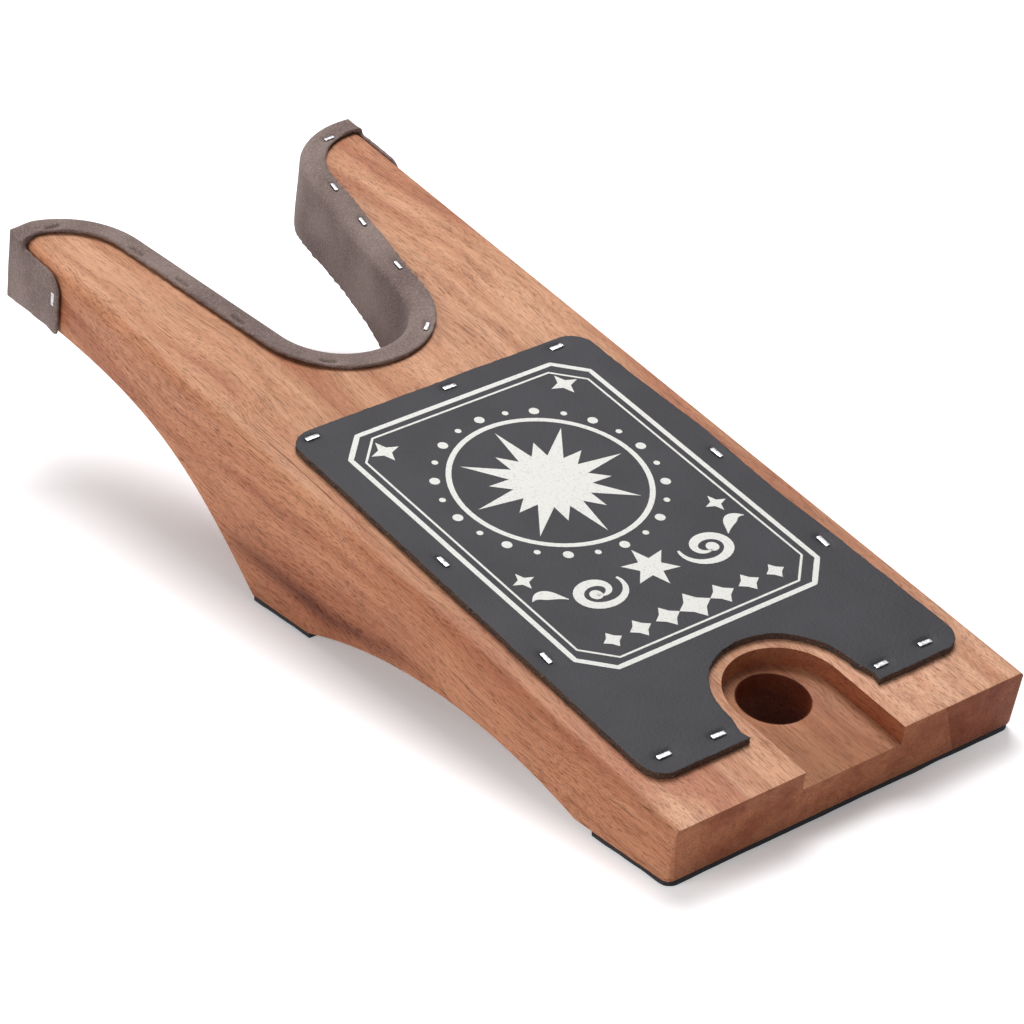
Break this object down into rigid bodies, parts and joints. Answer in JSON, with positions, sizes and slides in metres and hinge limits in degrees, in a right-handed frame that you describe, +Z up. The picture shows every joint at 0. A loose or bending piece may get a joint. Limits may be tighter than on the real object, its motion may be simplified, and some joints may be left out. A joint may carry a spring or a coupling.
{
  "type": "boot jack",
  "caption": "Sloping wooden boot jack with a suede-lined fork, a leather tread plate, a hanging hole in an open recess, and rubber pads under its front and heel.",
  "frame": {"origin": "middle of the bounding box's base, on the floor", "axes": "+X across the prongs to the right, +Y from the low front end to the fork, +Z up"},
  "size_m": [0.1234, 0.303, 0.0728],
  "materials": {
    "wood": "satin oiled",
    "leather": "matte, with off-white printed ornament",
    "suede": "napped",
    "rubber": "matte",
    "staple_wire": "bright"
  },
  "bodies": {
    "root": {"wood_block": "wood", "leather_plate": "leather", "suede_liner": "suede", "front_pad": "rubber", "heel_pad": "rubber", "plate_staples_upper": "staple_wire", "plate_staples_left": "staple_wire", "plate_staples_right": "staple_wire", "plate_staples_lower": "staple_wire", "liner_staples_left": "staple_wire", "liner_staples_right": "staple_wire", "flap_staples": "staple_wire"}
  },
  "joints": []
}
